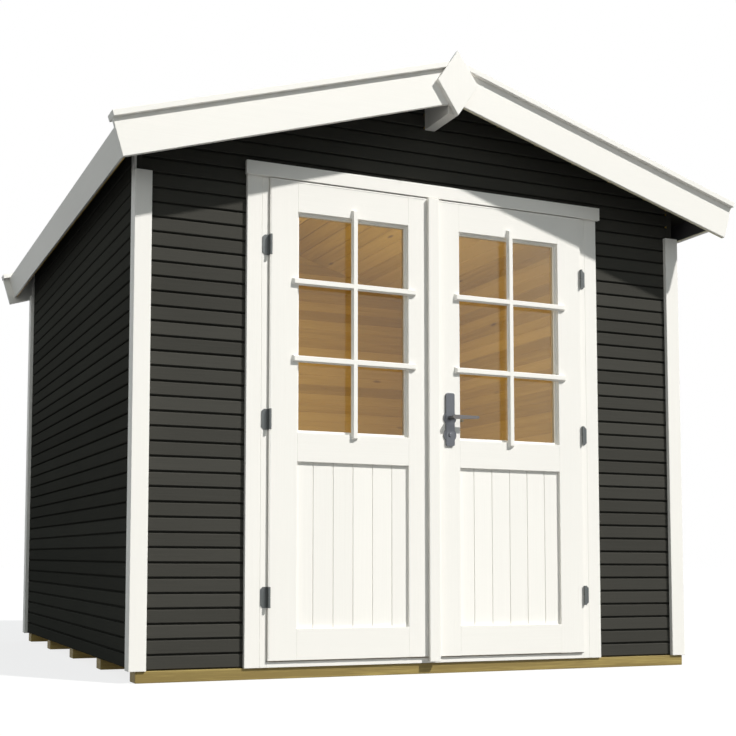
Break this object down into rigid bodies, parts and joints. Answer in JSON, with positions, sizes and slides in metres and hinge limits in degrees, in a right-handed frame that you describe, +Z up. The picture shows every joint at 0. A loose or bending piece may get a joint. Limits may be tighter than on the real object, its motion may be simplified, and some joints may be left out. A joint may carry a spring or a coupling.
{
  "type": "wooden garden shed",
  "caption": "Timber garden shed with horizontal dark siding, white trims, a gable roof and a glazed double door that swings out.",
  "frame": {"origin": "under the middle of the shed's outer box, at the foot of the bearers", "axes": "+X to the right seen from the front, -Y out of the front, +Z up"},
  "size_m": [2.8762, 2.707, 2.5526],
  "materials": {
    "dark_siding": "anthracite paint on planed boards",
    "white_paint": "white paint on planed timber",
    "bare_pine": "untreated planed pine",
    "bearer_timber": "pressure-treated timber",
    "roofing_felt": "mineral bitumen felt",
    "hinge_steel": "zinc-plated steel",
    "handle_metal": "satin grey metal",
    "window_glass": "clear window glass"
  },
  "bodies": {
    "shed": {"bearers": "bearer_timber", "floor": "bare_pine", "left_wall": "dark_siding", "right_wall": "dark_siding", "back_wall": "dark_siding", "front_wall_left": "dark_siding", "front_wall_right": "dark_siding", "front_gable": "dark_siding", "trim_front_left": "white_paint", "trim_back_left": "white_paint", "trim_front_right": "white_paint", "trim_back_right": "white_paint", "jamb_left": "white_paint", "jamb_right": "white_paint", "door_head": "white_paint", "door_sill": "white_paint", "casing_left": "white_paint", "casing_right": "white_paint", "lintel_board": "white_paint", "ridge_purlin": "bare_pine", "roof_boards_left": "bare_pine", "roof_boards_right": "bare_pine", "roof_felt": "roofing_felt", "fascia_left": "white_paint", "fascia_right": "white_paint", "barge_front_left": "white_paint", "strip_front_left": "white_paint", "barge_rear_left": "white_paint", "strip_rear_left": "white_paint", "barge_front_right": "white_paint", "strip_front_right": "white_paint", "barge_rear_right": "white_paint", "strip_rear_right": "white_paint", "finial_front": "white_paint", "finial_rear": "white_paint", "frame_hinges_left": "hinge_steel", "frame_hinges_right": "hinge_steel"},
    "left_leaf": {"left_leaf_stiles": "white_paint", "left_leaf_rails": "white_paint", "left_leaf_panel": "white_paint", "left_leaf_glass": "window_glass", "left_leaf_hinges": "hinge_steel"},
    "right_leaf": {"right_leaf_stiles": "white_paint", "right_leaf_rails": "white_paint", "right_leaf_panel": "white_paint", "right_leaf_glass": "window_glass", "right_leaf_hinges": "hinge_steel", "astragal": "white_paint", "handle_plates": "handle_metal", "lock_cylinder": "handle_metal"},
    "lever_body": {"lever": "handle_metal"}
  },
  "joints": [
    {"name": "right_leaf_hinge", "type": "hinge", "parent": "shed", "child": "right_leaf", "pos_m": [0.74, -1.1555, 1], "axis": [0, 0, 1], "range_deg": [0, 110]},
    {"name": "left_leaf_hinge", "type": "hinge", "parent": "shed", "child": "left_leaf", "pos_m": [-0.74, -1.1555, 1], "axis": [0, 0, -1], "range_deg": [0, 110]},
    {"name": "lever_turn", "type": "hinge", "parent": "right_leaf", "child": "lever_body", "pos_m": [0.0715, -1.1275, 1.062], "axis": [0, 1, 0], "range_deg": [0, 40], "stiffness_Nm_per_rad": 2, "springref_deg": -11.46}
  ],
  "couplings": [
    {"joint": "left_leaf_hinge", "follows": "right_leaf_hinge", "ratio": 1}
  ]
}
